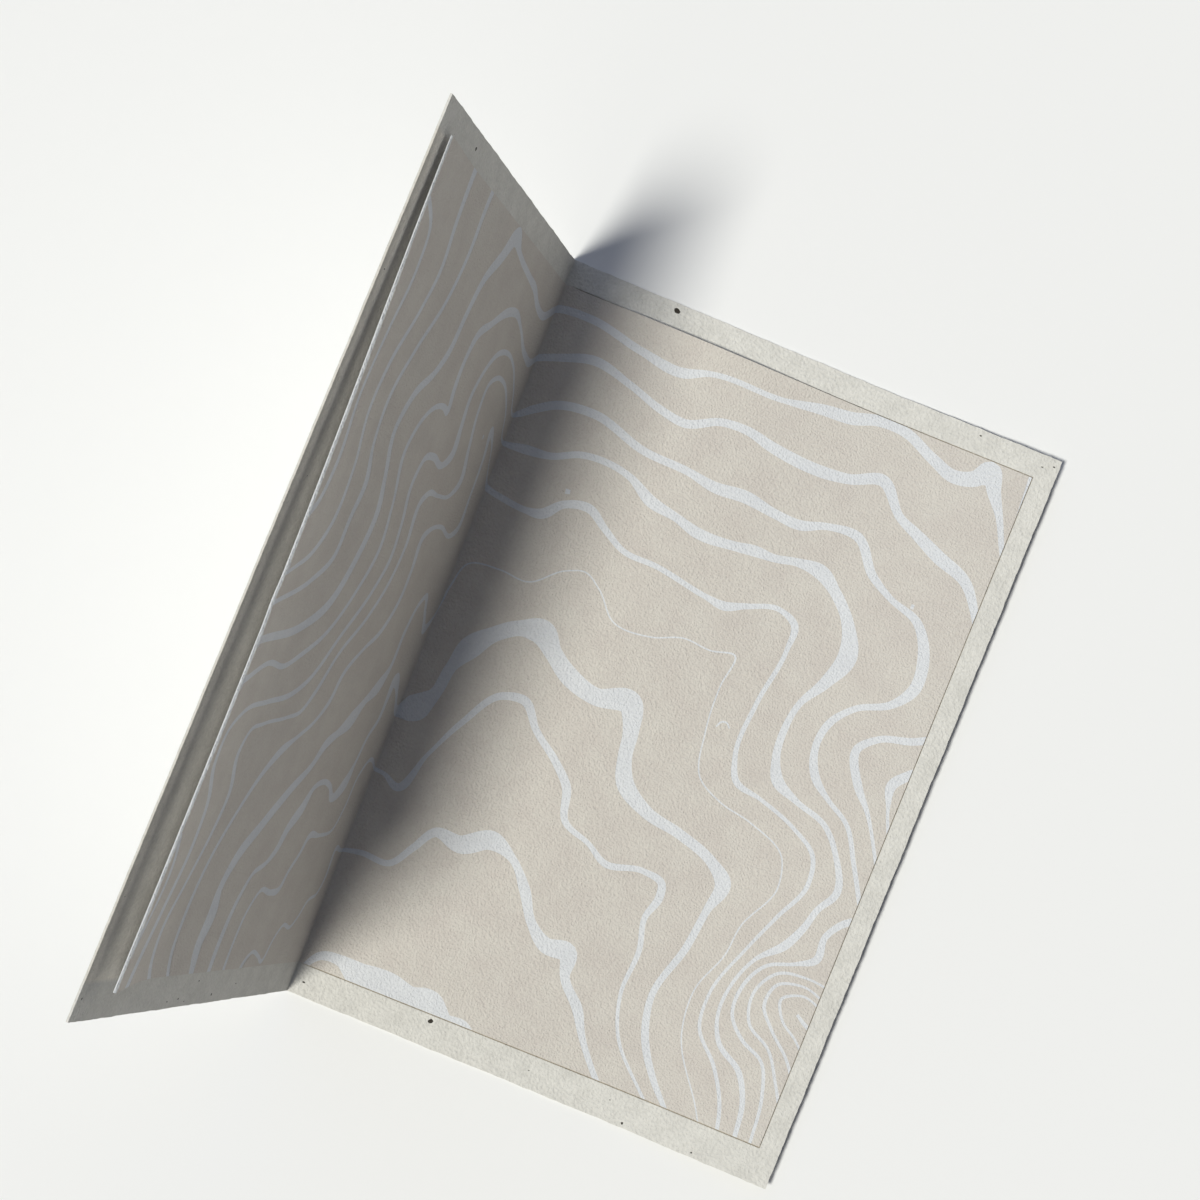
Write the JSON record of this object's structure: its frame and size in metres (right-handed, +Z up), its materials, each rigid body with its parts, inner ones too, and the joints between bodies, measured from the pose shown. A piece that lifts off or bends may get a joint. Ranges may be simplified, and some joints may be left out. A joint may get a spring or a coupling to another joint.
{
  "type": "greeting card",
  "caption": "Opened greeting card: one folded recycled board with a printed paper liner inside, lying on its back panel with the front panel standing up from the fold.",
  "frame": {"origin": "middle of the card's box, on the surface that the back panel lies on", "axes": "+Y along the fold towards the top edge, +X from the fold side towards the back panel's free edge, +Z up from the table"},
  "size_m": [0.1584, 0.192, 0.1248],
  "materials": {
    "recycled_board": "matte",
    "liner_paper": "matte",
    "printed_ink": "matte"
  },
  "bodies": {
    "root": {"outer_card": "recycled_board", "liner_sheet": "liner_paper", "contour_print": "printed_ink"}
  },
  "joints": []
}
